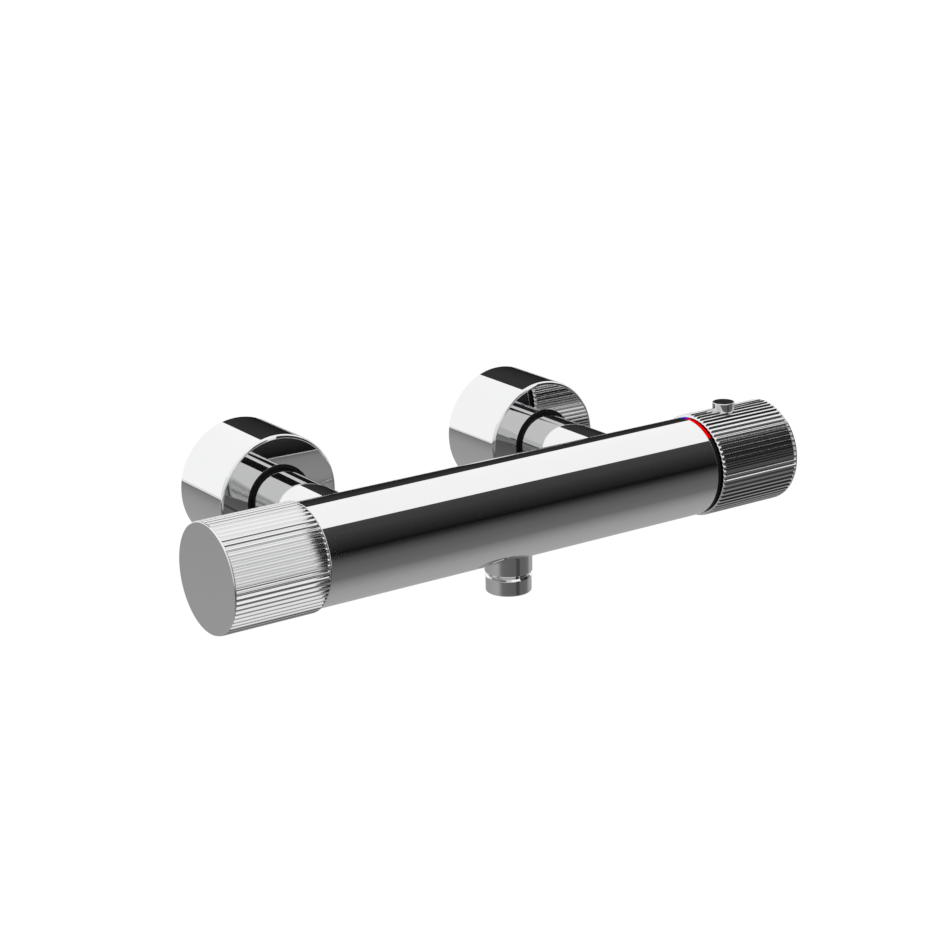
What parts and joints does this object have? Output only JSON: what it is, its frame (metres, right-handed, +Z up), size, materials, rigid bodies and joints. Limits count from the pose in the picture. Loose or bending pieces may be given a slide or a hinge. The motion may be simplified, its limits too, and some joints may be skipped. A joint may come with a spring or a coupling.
{
  "type": "shower mixer",
  "caption": "Wall-mounted thermostatic bar mixer: ribbed flow and temperature knobs, safety button, deep round escutcheons and a hose outlet underneath.",
  "frame": {"origin": "on the finished wall, midway between the centres of the two wall connections", "axes": "+X along the bar to the user's right, -Y from the wall towards the user, +Z up"},
  "size_m": [0.306, 0.1492, 0.0691],
  "materials": {
    "chrome": "polished chrome plate",
    "brass": "machined",
    "black_plastic": "satin black",
    "red_plastic": "smooth red",
    "blue_plastic": "smooth blue",
    "grip_rubber": "soft black",
    "seal_rubber": "soft black",
    "white_plastic": "moulded white",
    "hub_plastic": "moulded grey",
    "cartridge_plastic": "moulded dark grey",
    "steel": "plain stainless",
    "wax_brass": "drawn copper alloy",
    "white_ceramic": "lapped"
  },
  "bodies": {
    "fixed_body": {"bar_casing": "chrome", "inlet_neck_hot": "chrome", "inlet_neck_cold": "chrome", "outlet_nipple": "chrome", "water_body": "brass", "tail_piece_hot": "brass", "tail_piece_cold": "brass", "union_nut_hot": "brass", "union_nut_cold": "brass", "eccentric_union_hot": "brass", "eccentric_union_cold": "brass", "valve_housing": "brass", "cartridge_cap": "brass", "scale_ring": "black_plastic", "temperature_stop_ring": "black_plastic", "flow_stop_ring": "black_plastic", "hot_mark": "red_plastic", "cold_mark": "blue_plastic", "neck_seals": "seal_rubber", "outlet_seal": "seal_rubber", "cartridge_seals": "seal_rubber", "valve_seals": "seal_rubber", "disc_seal": "seal_rubber", "sealing_washer_hot": "seal_rubber", "sealing_washer_cold": "seal_rubber", "check_cage_hot": "white_plastic", "check_cage_cold": "white_plastic", "cartridge_sleeve": "cartridge_plastic", "strainer_hot": "steel", "strainer_cold": "steel", "check_spring_hot": "steel", "check_spring_cold": "steel", "return_spring": "steel", "fixed_ceramic_disc": "white_ceramic"},
    "temperature_knob_body": {"temperature_knob": "chrome", "temperature_knob_disc": "chrome", "temperature_knob_hub": "hub_plastic", "temperature_knob_screw": "steel", "regulating_spindle": "brass", "button_spring": "steel"},
    "flow_knob_body": {"flow_knob": "chrome", "flow_knob_disc": "chrome", "flow_knob_hub": "hub_plastic", "flow_knob_screw": "steel", "flow_spindle": "brass", "turning_ceramic_disc": "white_ceramic"},
    "button_body": {"safety_button": "chrome"},
    "shuttle_body": {"regulating_shuttle": "cartridge_plastic", "wax_element": "wax_brass", "pusher_nut": "cartridge_plastic"},
    "hot_poppet_body": {"check_poppet_hot": "white_plastic"},
    "cold_poppet_body": {"check_poppet_cold": "white_plastic"},
    "hot_escutcheon_body": {"escutcheon_hot": "chrome", "grip_ring_hot": "grip_rubber"},
    "cold_escutcheon_body": {"escutcheon_cold": "chrome", "grip_ring_cold": "grip_rubber"}
  },
  "joints": [
    {"name": "temperature_turn", "type": "hinge", "parent": "fixed_body", "child": "temperature_knob_body", "pos_m": [0, -0.1128, 0.008], "axis": [1, 0, 0], "range_deg": [-180, 45]},
    {"name": "flow_turn", "type": "hinge", "parent": "fixed_body", "child": "flow_knob_body", "pos_m": [0, -0.1128, 0.008], "axis": [-1, 0, 0], "range_deg": [0, 90]},
    {"name": "button_press", "type": "slide", "parent": "temperature_knob_body", "child": "button_body", "axis": [0, 0, -1], "range_m": [0, 0.002], "stiffness_N_per_m": 400, "springref_m": -0.003, "deforming": ["button_spring"]},
    {"name": "shuttle_slide", "type": "slide", "parent": "fixed_body", "child": "shuttle_body", "axis": [1, 0, 0], "range_m": [-0.0014, 0.0004], "deforming": ["return_spring"]},
    {"name": "check_valve_hot", "type": "slide", "parent": "fixed_body", "child": "hot_poppet_body", "axis": [0, -1, 0], "range_m": [0, 0.0025], "stiffness_N_per_m": 100, "springref_m": -0.002, "deforming": ["check_spring_hot"]},
    {"name": "check_valve_cold", "type": "slide", "parent": "fixed_body", "child": "cold_poppet_body", "axis": [0, -1, 0], "range_m": [0, 0.0025], "stiffness_N_per_m": 100, "springref_m": -0.002, "deforming": ["check_spring_cold"]},
    {"name": "escutcheon_slide_hot", "type": "slide", "parent": "fixed_body", "child": "hot_escutcheon_body", "axis": [0, -1, 0], "range_m": [0, 0.05]},
    {"name": "escutcheon_slide_cold", "type": "slide", "parent": "fixed_body", "child": "cold_escutcheon_body", "axis": [0, -1, 0], "range_m": [0, 0.05]}
  ],
  "couplings": [
    {"joint": "shuttle_slide", "follows": "temperature_turn", "m_per_rad": 0.00039789}
  ]
}
